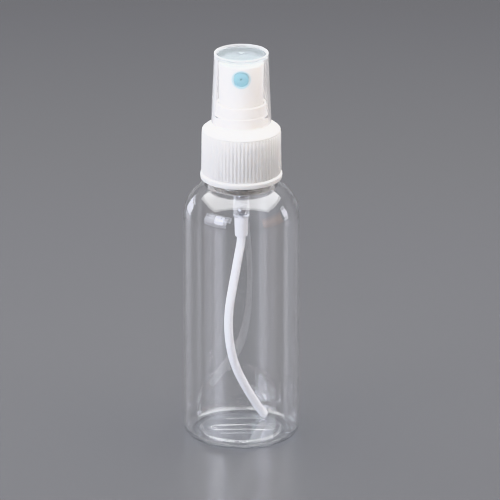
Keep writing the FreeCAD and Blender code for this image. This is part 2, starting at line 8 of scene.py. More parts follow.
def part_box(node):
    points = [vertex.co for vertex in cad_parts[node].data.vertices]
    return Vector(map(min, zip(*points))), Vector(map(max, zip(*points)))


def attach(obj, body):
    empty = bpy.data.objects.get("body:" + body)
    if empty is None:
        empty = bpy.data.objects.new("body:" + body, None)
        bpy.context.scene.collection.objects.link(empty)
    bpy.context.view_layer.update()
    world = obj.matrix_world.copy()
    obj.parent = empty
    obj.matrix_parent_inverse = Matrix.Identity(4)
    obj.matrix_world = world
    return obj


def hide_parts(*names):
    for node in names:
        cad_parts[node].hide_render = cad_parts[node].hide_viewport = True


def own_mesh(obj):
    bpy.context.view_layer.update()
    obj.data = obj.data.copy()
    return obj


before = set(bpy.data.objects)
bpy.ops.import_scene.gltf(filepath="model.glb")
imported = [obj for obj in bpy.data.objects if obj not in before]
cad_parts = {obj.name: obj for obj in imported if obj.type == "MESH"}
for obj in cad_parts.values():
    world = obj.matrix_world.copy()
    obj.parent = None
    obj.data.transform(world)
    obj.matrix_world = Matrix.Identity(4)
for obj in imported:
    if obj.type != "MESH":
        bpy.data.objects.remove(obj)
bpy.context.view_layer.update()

MM = 0.001
FULL_TURN = 2 * math.pi
SMOOTH_ANGLE = math.radians(38)
# Typical of polypropylene, and used for the other moulded plastics too.
PLASTIC_IOR = 1.49
COLOUR_DRIFT_MM = 9
# Most of a noise's values lie between these.
NOISE_LOW = 0.3
NOISE_HIGH = 0.7


# ---------------------------------------------------------------- materials

def srgb(code):
    """Linear RGBA from a six-digit sRGB hex colour."""
    channels = [int(code[i:i + 2], 16) / 255 for i in (0, 2, 4)]
    linear = [c / 12.92 if c <= 0.04045 else ((c + 0.055) / 1.055) ** 2.4 for c in channels]
    return (*linear, 1.0)


def new_material(name):
    material = bpy.data.materials.new(name)
    material.use_nodes = True
    material.node_tree.nodes.clear()
    return material


def add_node(tree, kind, settings=None, inputs=None):
    """Add one node: settings are its properties; an input is a value or an output to link."""
    node = tree.nodes.new(kind)
    for name, value in (settings or {}).items():
        setattr(node, name, value)
    for name, value in (inputs or {}).items():
        socket = node.inputs[name]
        if isinstance(value, bpy.types.NodeSocket):
            tree.links.new(value, socket)
        else:
            socket.default_value = value
    return node


def surface_grain(tree, size_mm, strength, depth_mm, detail=2.0):
    """A bump whose cells are size_mm across."""
    place = add_node(tree, "ShaderNodeTexCoord")
    noise = add_node(tree, "ShaderNodeTexNoise", None, {
        "Vector": place.outputs["Object"],
        "Scale": 1 / (size_mm * MM),
        "Detail": detail,
        "Roughness": 0.5,
    })
    bump = add_node(tree, "ShaderNodeBump", None, {
        "Strength": strength,
        "Distance": depth_mm * MM,
        "Height": noise.outputs["Fac"],
    })
    return noise, bump


def speckle(tree, noise, dark, pale):
    """A colour that drifts between two close shades with the noise."""
    ramp = add_node(tree, "ShaderNodeValToRGB", None, {"Fac": noise.outputs["Fac"]})
    ramp.color_ramp.elements[0].position = NOISE_LOW
    ramp.color_ramp.elements[0].color = srgb(dark)
    ramp.color_ramp.elements[1].position = NOISE_HIGH
    ramp.color_ramp.elements[1].color = srgb(pale)
    return ramp


def clear_plastic(name, tint, shadow_tint, ior, roughness, clarity, edge, ripple):
    """Clear moulded plastic. Lamps pass it nearly unbent, as through a wall this thin.

    edge is the clarity left where the wall is seen side on, through the most haze.
    ripple is the size and depth in mm of the slow waves in its surface.
    """
    material = new_material(name)
    tree = material.node_tree
    _, bump = surface_grain(tree, ripple[0], 0.5, ripple[1], detail=1.0)
    slant = add_node(tree, "ShaderNodeLayerWeight", None, {"Blend": 0.5})
    haze = add_node(tree, "ShaderNodeMapRange", None, {
        "Value": slant.outputs["Facing"],
        "From Min": 0.2,
        "From Max": 1.0,
        "To Min": clarity,
        "To Max": edge,
    })
    shell = add_node(tree, "ShaderNodeBsdfPrincipled", None, {
        "Base Color": srgb(tint),
        "Transmission Weight": haze.outputs["Result"],
        "Roughness": roughness,
        "IOR": ior,
        "Normal": bump.outputs["Normal"],
    })
    passing = add_node(tree, "ShaderNodeBsdfTransparent", None, {"Color": srgb(shadow_tint)})
    light_path = add_node(tree, "ShaderNodeLightPath")
    mix = add_node(tree, "ShaderNodeMixShader", None, {
        0: light_path.outputs["Is Shadow Ray"],
        1: shell.outputs["BSDF"],
        2: passing.outputs["BSDF"],
    })
    add_node(tree, "ShaderNodeOutputMaterial", None, {"Surface": mix.outputs["Shader"]})
    return material


def moulded_plastic(name, dark, pale, roughness, depth_mm, scatter, passes=0.0):
    """Opaque moulded plastic, whose colour drifts a little between two shades.

    Light scatters depth_mm deep under the surface. passes is the share of light that works
    through the wall and glows on its far side.
    """
    material = new_material(name)
    tree = material.node_tree
    # A mould's grain is too fine to show, so it is drawn coarser than the real one.
    noise, bump = surface_grain(tree, 0.35, 0.12, 0.004)
    drift = add_node(tree, "ShaderNodeTexNoise", None, {
        "Vector": add_node(tree, "ShaderNodeTexCoord").outputs["Object"],
        "Scale": 1 / (COLOUR_DRIFT_MM * MM),
        "Detail": 3.0,
    })
    shade = speckle(tree, drift, dark, pale)
    gloss = add_node(tree, "ShaderNodeMapRange", None, {
        "Value": noise.outputs["Fac"],
        "From Min": NOISE_LOW,
        "From Max": NOISE_HIGH,
        "To Min": roughness - 0.04,
        "To Max": roughness + 0.05,
    })
    shell = add_node(tree, "ShaderNodeBsdfPrincipled", None, {
        "Base Color": shade.outputs["Color"],
        "Roughness": gloss.outputs["Result"],
        "IOR": PLASTIC_IOR,
        "Subsurface Weight": scatter,
        "Subsurface Radius": (1.0, 0.95, 0.9),
        "Subsurface Scale": depth_mm * MM,
        "Normal": bump.outputs["Normal"],
    })
    surface = shell.outputs["BSDF"]
    if passes:
        glow = add_node(tree, "ShaderNodeBsdfTranslucent", None, {
            "Color": srgb(pale),
            "Normal": bump.outputs["Normal"],
        })
        mix = add_node(tree, "ShaderNodeMixShader", None, {
            0: passes,
            1: surface,
            2: glow.outputs["BSDF"],
        })
        surface = mix.outputs["Shader"]
    add_node(tree, "ShaderNodeOutputMaterial", None, {"Surface": surface})
    return material


def milky_plastic(name, tint, see_through, roughness):
    """Unpigmented plastic: part of the light goes straight through, the rest scatters."""
    material = new_material(name)
    tree = material.node_tree
    # The tube's own texture is too fine to show, so it is drawn coarser than the real one.
    noise, bump = surface_grain(tree, 0.5, 0.2, 0.01)
    body = add_node(tree, "ShaderNodeBsdfPrincipled", None, {
        "Base Color": srgb(tint),
        "Roughness": roughness,
        "IOR": PLASTIC_IOR,
        "Subsurface Weight": 0.6,
        "Subsurface Radius": (1.0, 1.0, 1.0),
        "Subsurface Scale": 1.2 * MM,
        "Normal": bump.outputs["Normal"],
    })
    clear = add_node(tree, "ShaderNodeBsdfTransparent", None, {"Color": srgb("F4F6F8")})
    share = add_node(tree, "ShaderNodeMapRange", None, {
        "Value": noise.outputs["Fac"],
        "From Min": NOISE_LOW,
        "From Max": NOISE_HIGH,
        "To Min": see_through - 0.04,
        "To Max": see_through + 0.04,
    })
    mix = add_node(tree, "ShaderNodeMixShader", None, {
        0: share.outputs["Result"],
        1: body.outputs["BSDF"],
        2: clear.outputs["BSDF"],
    })
    add_node(tree, "ShaderNodeOutputMaterial", None, {"Surface": mix.outputs["Shader"]})
    return material


def drawn_steel(name):
    """Stainless wire and ball: bright metal with a fine even grain."""
    material = new_material(name)
    tree = material.node_tree
    # The wire's marks are too fine to show, so they are drawn coarser than the real ones.
    _, bump = surface_grain(tree, 0.15, 0.3, 0.004)
    metal = add_node(tree, "ShaderNodeBsdfPrincipled", None, {
        "Base Color": srgb("C9CACD"),
        "Metallic": 1.0,
        "Roughness": 0.2,
        "Normal": bump.outputs["Normal"],
    })
    add_node(tree, "ShaderNodeOutputMaterial", None, {"Surface": metal.outputs["BSDF"]})
    return material


# Blown PET: glass-clear and glossy, with a slow ripple from blowing.
CLEAR_PET = clear_plastic(
    "blown_clear_pet", tint="FEFEFE", shadow_tint="EFF1F3", ior=1.57, roughness=0.015,
    clarity=0.998, edge=0.97, ripple=(14, 0.02),
)
# Injection-moulded clear polypropylene: a trace of haze that whitens its edges.
CLEAR_CAP = clear_plastic(
    "moulded_clear_pp", tint="FBFAF9", shadow_tint="F4F4F4", ior=PLASTIC_IOR,
    roughness=0.05, clarity=0.955, edge=0.4, ripple=(6, 0.01),
)
# The cap's roof, left matt by the mould's core: frosted, so what is under it blurs. Its grey-blue
# tint is painted shade that darkens the roof; the plastic itself is as clear as the wall.
FROSTED_CAP_PAINTED_SHADE = clear_plastic(
    "frosted_clear_pp", tint="B8BFC2", shadow_tint="E6E9EB", ior=PLASTIC_IOR,
    roughness=0.22, clarity=0.9, edge=0.85, ripple=(4, 0.01),
)
# The cap's turned-up lip: thick enough along its length to look white.
CAP_LIP = clear_plastic(
    "hazy_lip_pp", tint="FCFCFC", shadow_tint="F0F0F0", ior=PLASTIC_IOR,
    roughness=0.12, clarity=0.6, edge=0.3, ripple=(3, 0.01),
)
# White pigmented polypropylene: satin, slightly soft in its shadows.
WHITE_PP = moulded_plastic(
    "white_moulded_pp", dark="EEECE9", pale="F4F2EF", roughness=0.38, depth_mm=1.0, scatter=0.7,
)
# The closure's own white: light works through it, so its shaded underside glows a little.
CLOSURE_PP = moulded_plastic(
    "white_closure_pp", dark="FAF8F5", pale="FDFCFA", roughness=0.38, depth_mm=1.0, scatter=0.6,
    passes=0.34,
)
# Light-blue acetal of the nozzle: glossier and even.
BLUE_ACETAL = moulded_plastic(
    "light_blue_acetal", dark="88BAC6", pale="96C6D2", roughness=0.28, depth_mm=0.3, scatter=0.1,
)
# The rim of the nozzle's mouth, where the blue only just tints the plastic.
PALE_BLUE = moulded_plastic(
    "pale_blue_acetal", dark="C2E2EA", pale="CEE9F0", roughness=0.3, depth_mm=0.3, scatter=0.1,
)
# Unpigmented polypropylene of the housing: watery, with bright edges.
NATURAL_PP = clear_plastic(
    "natural_pp", tint="FCFCFD", shadow_tint="F0F1F2", ior=PLASTIC_IOR,
    roughness=0.05, clarity=0.985, edge=0.6, ripple=(3, 0.02),
)
# Extruded polyethylene of the tube: waxy and milky white.
MILKY_PE = milky_plastic("milky_polyethylene", tint="F4F3F4", see_through=0.1, roughness=0.38)
# Soft elastomer of the seals: dull, and greyer than the plastics.
SOFT_SEAL = moulded_plastic(
    "soft_white_elastomer", dark="D9D9D6", pale="E2E2E0", roughness=0.6, depth_mm=0.6,
    scatter=0.2,
)
# Stainless steel of the springs and the ball: bright, with slightly blurred reflections.
STEEL = drawn_steel("drawn_stainless_steel")


# ---------------------------------------------------------------- sizes from the frame

def foot(node):
    """The height of the node's lowest point, in mm, as everything in this section."""
    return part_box(node)[0][2] / MM


def top(node):
    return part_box(node)[1][2] / MM


def girth(node):
    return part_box(node)[1][0] / MM


# ---------------------------------------------------------------- mesh makers

def rounded_outline(corners, steps=6):
    """Points (mm) of an outline whose corners are (radius, height, round)."""
    points = []
    count = len(corners)
    for i, (r, z, fillet) in enumerate(corners):
        here = Vector((r, z))
        if not fillet:
            points.append(here)
            continue
        before = Vector(corners[(i - 1) % count][:2]) - here
        after = Vector(corners[(i + 1) % count][:2]) - here
        half = before.angle(after) / 2
        reach = fillet / math.tan(half)
        centre = here + (before.normalized() + after.normalized()).normalized() * (
            fillet / math.sin(half)
        )
        first = here + before.normalized() * reach - centre
        last = here + after.normalized() * reach - centre
        turn = first.angle_signed(last)
        for step in range(steps + 1):
            angle = -turn * step / steps
            spun = Matrix.Rotation(angle, 2) @ first
            points.append(centre + spun)
    return points


def split_long(points, spacing):
    """The outline with its long stretches divided, as finely as spacing(r, z) asks."""
    finer = []
    for here, there in zip(points, points[1:] + points[:1]):
        finer.append(here)
        middle = here.lerp(there, 0.5)
        parts = int((there - here).length // spacing(middle.x, middle.y))
        for part in range(1, parts + 1):
            finer.append(here.lerp(there, part / (parts + 1)))
    return finer


def lathe(name, outline, material, around=160, shape=None, zones=(), gap=None):
    """Turn a closed outline (mm) about Z, leaving out the faces where gap says so.

    shape moves a point, and zones are pairs of a material and the test for its faces.
    """
    shell = bmesh.new()
    rings = []
    for r, z in outline:
        if r < 1e-6:
            rings.append([shell.verts.new((0, 0, z))])
            continue
        ring = []
        for step in range(around):
            a = FULL_TURN * step / around
            ring.append(shell.verts.new((r * math.cos(a), r * math.sin(a), z)))
        rings.append(ring)
    for lower, upper in zip(rings, rings[1:] + rings[:1]):
        if len(lower) == 1 and len(upper) == 1:
            continue
        for step in range(around):
            following = (step + 1) % around
            corners = [
                lower[step % len(lower)], lower[following % len(lower)],
                upper[following % len(upper)], upper[step % len(upper)],
            ]
            corners = list(dict.fromkeys(corners))
            middle = sum((corner.co for corner in corners), Vector()) / len(corners)
            if gap and gap(middle):
                continue
            face = shell.faces.new(corners)
            for index, (_, inside) in enumerate(zones, start=1):
                if inside(middle):
                    face.material_index = index
    if shape:
        for vert in shell.verts:
            vert.co = shape(vert.co)
    bmesh.ops.delete(shell, geom=[v for v in shell.verts if not v.link_faces], context="VERTS")
    bmesh.ops.scale(shell, vec=(MM, MM, MM), verts=shell.verts)
    bmesh.ops.recalc_face_normals(shell, faces=shell.faces)
    piece = piece_from(name, shell, material)
    for finish, _ in zones:
        piece.data.materials.append(finish)
    return piece


def smooth(mesh):
    mesh.shade_smooth()
    mesh.set_sharp_from_angle(angle=SMOOTH_ANGLE)


def settle(piece, modifier):
    """Keep what the modifier makes as the piece's plain mesh, and drop the modifier."""
    graph = bpy.context.evaluated_depsgraph_get()
    mesh = bpy.data.meshes.new_from_object(piece.evaluated_get(graph))
    piece.modifiers.remove(modifier)
    old = piece.data
    piece.data = mesh
    mesh.name = piece.name
    bpy.data.meshes.remove(old)
    return mesh


def piece_from(name, shell, material):
    """Make an object of the finished shell, which is used up."""
    mesh = bpy.data.meshes.new(name)
    shell.to_mesh(mesh)
    shell.free()
    mesh.materials.append(material)
    smooth(mesh)
    piece = bpy.data.objects.new(name, mesh)
    bpy.context.scene.collection.objects.link(piece)
    return piece


def stand_for(piece, body, slot, *nodes):
    """Tie the piece to its body, in place of the CAD nodes. slot is not used."""
    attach(piece, body)
    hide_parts(*nodes)


def thread_bump(radius, pitch, start, turns, height, half_width, fade):
    """How far a screw thread lifts the wall at (angle, z): a ridge with faded ends."""
    def lift(angle, z):
        best = 0.0
        for wind in range(math.ceil(turns) + 1):
            turned = angle + FULL_TURN * wind
            if turned > FULL_TURN * turns:
                continue
            ridge = start + pitch * turned / FULL_TURN
            off = abs(z - ridge) / half_width
            ends = min(turned, FULL_TURN * turns - turned) / fade
            flank = min(1.0, max(0.0, (1.0 - off) / 0.45))
            best = max(best, flank * min(1.0, ends))
        return height * best
    return lift


# ---------------------------------------------------------------- bottle

BODY = girth("bottle")
LAND = top("bottle")
WALL = 0.62
NECK_OUTSIDE = 10.75
NECK_BORE = 8.95
THREAD_PITCH = 3.175
THREAD_START = 103.4
BASE_EDGE = 13.4


SHOULDER = 89.7
FLOOR_TOP = 0.9


def bottle_outline():
    outline = rounded_outline([
        (0, 0.9, 0), (14.1, 0.54, 1.0), (15.0, 0.0, 0.4), (BODY, 0.0, 2.8),
        (BODY, SHOULDER, 13.0), (10.95, 94.0, 1.2), (NECK_OUTSIDE, LAND, 0.5),
        (NECK_BORE, LAND, 0.3), (NECK_BORE, 95.4, 3.0),
        (BODY - WALL, SHOULDER - WALL, 12.6), (BODY - WALL, FLOOR_TOP, 2.3),
        (14.7, FLOOR_TOP, 0.5), (13.6, 1.44, 1.0), (0, 1.8, 0),
    ], steps=14)

    def spacing(r, z):
        if z < 1.0 and r < BASE_EDGE + 0.6:
            return 0.26
        return 0.3 if r > NECK_BORE + 0.5 and 101 < z < 109 else 2.5

    return split_long(outline, spacing)


def base_dots():
    """Plain dots under the base: a row on each side of the ridge, and a ring at each end."""
    dots = [(-5.4 + 1.45 * step, 8.6) for step in range(9)]
    dots += [(-6.8 + 1.45 * step, -5.8) for step in range(8)]
    for x, y, size, count in ((10.6, 2.6, 1.5, 7), (10.4, -1.2, 1.0, 5), (-10.4, -0.3, 0.9, 5)):
        for step in range(count):
            a = FULL_TURN * step / count
            dots.append((x + size * math.cos(a), y + size * math.sin(a)))
    return dots


BASE_DOTS = base_dots()


def base_relief(x, y):
    """How far the ridge's outline and the dots stand down from the base, in mm."""
    half, rise, line = 8.6, 2.2, 0.28
    across = max(abs(x) - half, 0.0)
    off = abs(math.hypot(across, y) - rise) if across else abs(abs(y) - rise)
    ridge = 0.38 * max(0.0, 1 - off / line) ** 0.7
    near = min(math.hypot(x - dot_x, y - dot_y) for dot_x, dot_y in BASE_DOTS)
    return max(ridge, 0.42 * max(0.0, 1 - (near / 0.55) ** 2))


def bottle_shape(co):
    """The neck's thread on the outside, and the marks moulded under the base."""
    radius = math.hypot(co.x, co.y)
    if radius > NECK_OUTSIDE - 0.05 and 101.5 < co.z < 109.6:
        angle = math.atan2(co.y, co.x) % FULL_TURN
        wider = radius + neck_thread(angle, co.z)
        return Vector((co.x * wider / radius, co.y * wider / radius, co.z))
    if co.z < 1.0 and radius < BASE_EDGE:
        return Vector((co.x, co.y, co.z - base_relief(co.x, co.y)))
    return co


neck_thread = thread_bump(NECK_OUTSIDE, THREAD_PITCH, THREAD_START, 1.5, 1.1, 0.85, 0.35)
bottle = lathe("bottle_shell", bottle_outline(), CLEAR_PET, around=256, shape=bottle_shape)
stand_for(bottle, "bottle", "clear_pet", "bottle")


# ---------------------------------------------------------------- closure

RIB_COUNT = 66
RIB_FACETS = 6
CLOSURE_FOOT = foot("closure")
CROWN = top("closure")
RIM = girth("closure")
RIM_TOP = CLOSURE_FOOT + 1.8
DECK = 113.6
SKIRT_FOOT = 14.1
SKIRT_TOP = 13.9
VALLEY = 13.62
CLOSURE_BORE = 12.15
HOLE = 9.38
HOLE_STEP = 114.75
STEP_BORE = 10.0
DECK_UNDERSIDE = 112.3
RIB_LOW = RIM_TOP + 0.4
RIB_HIGH = DECK - 0.5


def closure_outline():
    outline = rounded_outline([
        (CLOSURE_BORE, CLOSURE_FOOT, 0.2), (RIM, CLOSURE_FOOT, 0.5), (RIM, RIM_TOP, 0.3),
        (SKIRT_FOOT - 0.1, RIM_TOP + 0.2, 0.15), (VALLEY, RIB_LOW, 0), (VALLEY, RIB_HIGH, 0),
        (SKIRT_TOP, DECK, 0.45), (10.4, CROWN, 0.5),
        (HOLE, CROWN, 0.15), (HOLE, HOLE_STEP, 0), (STEP_BORE, HOLE_STEP, 0),
        (STEP_BORE, DECK_UNDERSIDE, 0), (CLOSURE_BORE, DECK_UNDERSIDE, 0.3),
    ], steps=5)
    return split_long(outline, lambda r, z: 0.3 if r < 12.4 and 99 < z < 108 else 3)


def in_skirt(co):
    return math.hypot(co.x, co.y) > 13.3 and RIB_LOW < co.z < RIB_HIGH


def closure_shape(co):
    """The closure's inner thread stands in from its bore."""
    radius = math.hypot(co.x, co.y)
    if radius > CLOSURE_BORE + 0.1 or radius < CLOSURE_BORE - 0.1:
        return co
    angle = math.atan2(co.y, co.x) % FULL_TURN
    narrower = radius - inner_thread(angle, co.z)
    return Vector((co.x * narrower / radius, co.y * narrower / radius, co.z))


def rib_sector():
    """One rib with half a valley on each side, as an open strip on the +X side."""
    shell = bmesh.new()
    rows = []
    for z, share in (
        (RIB_LOW, 0.0), (RIB_LOW + 0.15, 0.6), (RIB_LOW + 0.5, 1.0),
        (RIB_HIGH - 0.5, 1.0), (RIB_HIGH - 0.15, 0.6), (RIB_HIGH, 0.0),
    ):
        lean = (z - RIB_LOW) / (RIB_HIGH - RIB_LOW)
        back = SKIRT_FOOT + (SKIRT_TOP - SKIRT_FOOT) * lean
        row = []
        for step in range(RIB_FACETS + 1):
            side = -1 + 2 * step / RIB_FACETS
            swell = 0.5 + 0.5 * math.cos(side * math.pi)
            r = VALLEY + (back - VALLEY) * swell * share
            a = side * math.pi / RIB_COUNT
            row.append(shell.verts.new((r * math.cos(a), r * math.sin(a), z)))
        rows.append(row)
    for lower, upper in zip(rows, rows[1:]):
        for step in range(RIB_FACETS):
            shell.faces.new([lower[step], lower[step + 1], upper[step + 1], upper[step]])
    bmesh.ops.scale(shell, vec=(MM, MM, MM), verts=shell.verts)
    return piece_from("rib_sector", shell, CLOSURE_PP)


def ring_of(tree_name, bar, count, material):
    """Geometry Nodes: a bar repeated evenly about Z and welded to the piece's own mesh."""
    tree = bpy.data.node_groups.new(tree_name, "GeometryNodeTree")
    face = tree.interface
    face.new_socket("Geometry", in_out="INPUT", socket_type="NodeSocketGeometry")
    count_in = face.new_socket("Bar Count", in_out="INPUT", socket_type="NodeSocketInt")
    bar_in = face.new_socket("Bar", in_out="INPUT", socket_type="NodeSocketObject")
    face.new_socket("Geometry", in_out="OUTPUT", socket_type="NodeSocketGeometry")
    source = add_node(tree, "NodeGroupInput")
    spot = add_node(tree, "GeometryNodePoints", None, {"Count": source.outputs["Bar Count"]})
    order = add_node(tree, "GeometryNodeInputIndex")
    share = add_node(tree, "ShaderNodeMath", {"operation": "DIVIDE"}, {
        0: order.outputs["Index"],
        1: source.outputs["Bar Count"],
    })
    turn = add_node(tree, "ShaderNodeMath", {"operation": "MULTIPLY"}, {
        0: share.outputs["Value"],
        1: FULL_TURN,
    })
    spin = add_node(tree, "ShaderNodeCombineXYZ", None, {"Z": turn.outputs["Value"]})
    shape = add_node(tree, "GeometryNodeObjectInfo", None, {"Object": source.outputs["Bar"]})
    placed = add_node(tree, "GeometryNodeInstanceOnPoints", None, {
        "Points": spot.outputs[0],
        "Instance": shape.outputs["Geometry"],
        "Rotation": spin.outputs["Vector"],
    })
    joined = add_node(tree, "GeometryNodeJoinGeometry")
    tree.links.new(source.outputs["Geometry"], joined.inputs[0])
    tree.links.new(placed.outputs["Instances"], joined.inputs[0])
    real = add_node(tree, "GeometryNodeRealizeInstances", None, {
        "Geometry": joined.outputs["Geometry"],
    })
    welded = add_node(tree, "GeometryNodeMergeByDistance", None, {
        "Geometry": real.outputs["Geometry"],
        "Distance": 0.003 * MM,
    })
    painted = add_node(tree, "GeometryNodeSetMaterial", None, {
        "Geometry": welded.outputs["Geometry"],
        "Material": material,
    })
    add_node(tree, "NodeGroupOutput", None, {"Geometry": painted.outputs["Geometry"]})
    return tree, {count_in.identifier: count, bar_in.identifier: bar}


def grown(piece, tree, values):
    """Run the tree on the piece and keep the result as its plain mesh."""
    modifier = piece.modifiers.new("Growth", "NODES")
    modifier.node_group = tree
    for identifier, value in values.items():
        modifier[identifier] = value
    mesh = settle(piece, modifier)
    shell = bmesh.new()
    shell.from_mesh(mesh)
    bmesh.ops.recalc_face_normals(shell, faces=shell.faces)
    shell.to_mesh(mesh)
    shell.free()
    smooth(mesh)
    return piece


inner_thread = thread_bump(CLOSURE_BORE, THREAD_PITCH, 101.8125, 1.25, 1.1, 0.85, 0.35)
closure = lathe(
    "closure_cap", closure_outline(), CLOSURE_PP, around=RIB_COUNT * RIB_FACETS,
    shape=closure_shape, gap=in_skirt,
)
rib = rib_sector()
grown(closure, *ring_of("closure_ribs", rib, RIB_COUNT, CLOSURE_PP))
bpy.data.objects.remove(rib)
stand_for(closure, "closure", "white_closure", "closure")


# ---------------------------------------------------------------- collar, actuator, overcap

COLLAR_TOP = top("collar")


def collar_outline():
    return rounded_outline([
        (9.7, 112.15, 0), (9.7, 114.6, 0), (9.3, 114.6, 0), (9.3, 119.9, 0.25),
        (8.85, 119.9, 0.1), (8.85, COLLAR_TOP, 0.35), (8.05, COLLAR_TOP, 0.2), (8.05, 115.4, 0),
        (2.0, 115.4, 0), (2.0, 114.2, 0), (6.05, 114.2, 0), (6.05, 112.15, 0),
    ], steps=5)


collar = lathe("collar_turret", collar_outline(), WHITE_PP)
stand_for(collar, "pump_unit", "white_pump", "collar")

BUTTON = girth("actuator")
BUTTON_FOOT = foot("actuator")
BUTTON_TOP = top("actuator")
NOZZLE_HEIGHT = (foot("nozzle_insert") + top("nozzle_insert")) / 2
NOZZLE = girth("nozzle_insert")
MOUTH = NOZZLE + 0.6
SOCKET_BORE = 1.9
SOCKET_ROOF = 130.55
BOSS = 3.3
BOSS_FOOT = 122.3
BUTTON_CEILING = 136.8


def button_outline():
    inner = BUTTON - 1.05
    dish = [(BUTTON, BUTTON_TOP, 0.5), (6.3, BUTTON_TOP - 0.05, 1.0)]
    dish += [(r, BUTTON_TOP - 0.75 + 0.55 * (r / 6) ** 2, 0) for r in (5, 4, 3, 2, 1)]
    return rounded_outline([
        (inner, BUTTON_FOOT, 0.1), (BUTTON, BUTTON_FOOT, 0.3), *dish, (0, BUTTON_TOP - 0.75, 0),
        (0, SOCKET_ROOF, 0), (SOCKET_BORE, SOCKET_ROOF, 0), (SOCKET_BORE, BOSS_FOOT, 0),
        (BOSS, BOSS_FOOT, 0), (BOSS, BUTTON_CEILING, 0), (inner, BUTTON_CEILING, 0),
    ], steps=6)


def drilled(piece, cutter):
    """Cut one mesh from another and keep the result as the piece's plain mesh."""
    modifier = piece.modifiers.new("Drill", "BOOLEAN")
    modifier.operation = "DIFFERENCE"
    modifier.solver = "EXACT"
    modifier.object = cutter
    smooth(settle(piece, modifier))
    bpy.data.objects.remove(cutter)
    return piece


def face_front(piece, height):
    """Turn a piece made about Z so that its +Z end faces the front, at a height (mm)."""
    turn = Matrix.Rotation(math.pi / 2, 4, "X")
    piece.data.transform(Matrix.Translation((0, 0, height * MM)) @ turn)
    return piece


button = lathe("actuator_button", button_outline(), WHITE_PP)
mouth = rounded_outline([
    (0, 6.6, 0), (NOZZLE + 0.03, 6.6, 0), (NOZZLE + 0.03, 7.0, 0), (MOUTH, 7.6, 0),
    (MOUTH, 9, 0), (0, 9, 0),
])
drill = lathe("nozzle_drill", mouth, WHITE_PP, around=96)
drilled(button, face_front(drill, NOZZLE_HEIGHT))
stand_for(button, "actuator", "white_pump", "actuator")


def lining_shape(co):
    """Height above the drum's axis becomes depth below the button's round side."""
    return Vector((co.x, co.y, math.sqrt(BUTTON ** 2 - co.x ** 2) - co.z))


disc = rounded_outline([
    (0.2, 5.6, 0), (NOZZLE, 5.6, 0), (NOZZLE, 7.3, 0), (NOZZLE - 0.3, 7.5, 0.1),
    (0.6, 7.5, 0.1), (0.2, 7.15, 0),
], steps=4)
nozzle = lathe("nozzle_disc", disc, BLUE_ACETAL, around=96)
face_front(nozzle, NOZZLE_HEIGHT)
stand_for(nozzle, "actuator", "blue_nozzle", "nozzle_insert")

lining = rounded_outline([
    (NOZZLE + 0.02, 0.9, 0), (MOUTH + 0.1, 0.25, 0), (MOUTH + 0.1, -0.02, 0.1),
    (MOUTH - 0.25, -0.03, 0.1), (NOZZLE + 0.02, 0.45, 0.05),
], steps=3)
nozzle_lining = lathe("nozzle_lining", lining, PALE_BLUE, around=96, shape=lining_shape)
face_front(nozzle_lining, NOZZLE_HEIGHT)
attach(nozzle_lining, "actuator")

CAP_FOOT = foot("overcap")
CAP_TOP = top("overcap")
CAP_FOOT_RADIUS = girth("overcap")
CAP_TOP_RADIUS = 9.52
ROOF = CAP_TOP - 0.5


def overcap_outline():
    outline = rounded_outline([
        (CAP_FOOT_RADIUS - 0.85, CAP_FOOT, 0.15), (CAP_FOOT_RADIUS, CAP_FOOT, 0.2),
        (CAP_TOP_RADIUS, CAP_TOP, 0.2), (CAP_TOP_RADIUS - 0.4, CAP_TOP, 0.1),
        (CAP_TOP_RADIUS - 0.5, ROOF, 0.15),
        (1.7, ROOF, 0.2), (0.5, ROOF - 0.3, 0), (0.42, ROOF - 0.1, 0.05), (0, ROOF - 0.1, 0),
        (0, ROOF - 0.8, 0), (8.67, ROOF - 0.8, 0.5), (9.62, 120.1, 0.6), (9.42, 119.2, 0.5),
        (9.7, 118.3, 0.6),
    ], steps=7)
    return split_long(outline, lambda r, z: 2.5)


def in_roof(co):
    return co.z > ROOF - 1.0 and math.hypot(co.x, co.y) < 8.6


def in_lip(co):
    return co.z > ROOF + 0.2 and math.hypot(co.x, co.y) > 8.95


# The roof's faces take the frosted finish, whose grey-blue tint is painted shade.
overcap = lathe(
    "overcap_shell", overcap_outline(), CLEAR_CAP, around=192,
    zones=[(FROSTED_CAP_PAINTED_SHADE, in_roof), (CAP_LIP, in_lip)],
)
stand_for(overcap, "overcap", "clear_cap", "overcap")


# ---------------------------------------------------------------- pump and tube

def housing_outline():
    return rounded_outline([
        (1.5, 73.8, 0), (2.15, 73.8, 0.2), (2.3, 74.3, 0), (2.45, 80.4, 0.1), (2.9, 80.7, 0.1),
        (2.9, 95.0, 0.5), (4.6, 97.0, 0.5), (4.6, 111.0, 0), (11.4, 111.0, 0.1),
        (11.4, 112.1, 0.1), (6.0, 112.1, 0), (6.0, 113.4, 0.1), (3.65, 113.4, 0),
        (3.65, 98.4, 0), (2.35, 97.2, 0), (2.35, 85.0, 0), (1.8, 85.0, 0), (1.8, 82.4, 0),
        (0.9, 81.2, 0), (0.9, 79.8, 0), (1.5, 79.8, 0),
    ], steps=4)


def in_socket(co):
    return co.z < 80.55


housing = lathe(
    "housing_shell", housing_outline(), NATURAL_PP, around=96, zones=[(MILKY_PE, in_socket)],
)
stand_for(housing, "pump_unit", "natural_housing", "pump_housing")

TUBE_PLANE = math.radians(45)
TUBE_START = 79.7
TUBE_RADIUS = 1.5
TUBE_BORE = 0.95
# Each stretch is (length in mm, turn in degrees), from the socket to the cut end.
TUBE_STRETCHES = [(5.9, 0.0), (3.6, 14.6), (18.1, 0.0), (32.3, -43.8), (22.2, -10.0)]


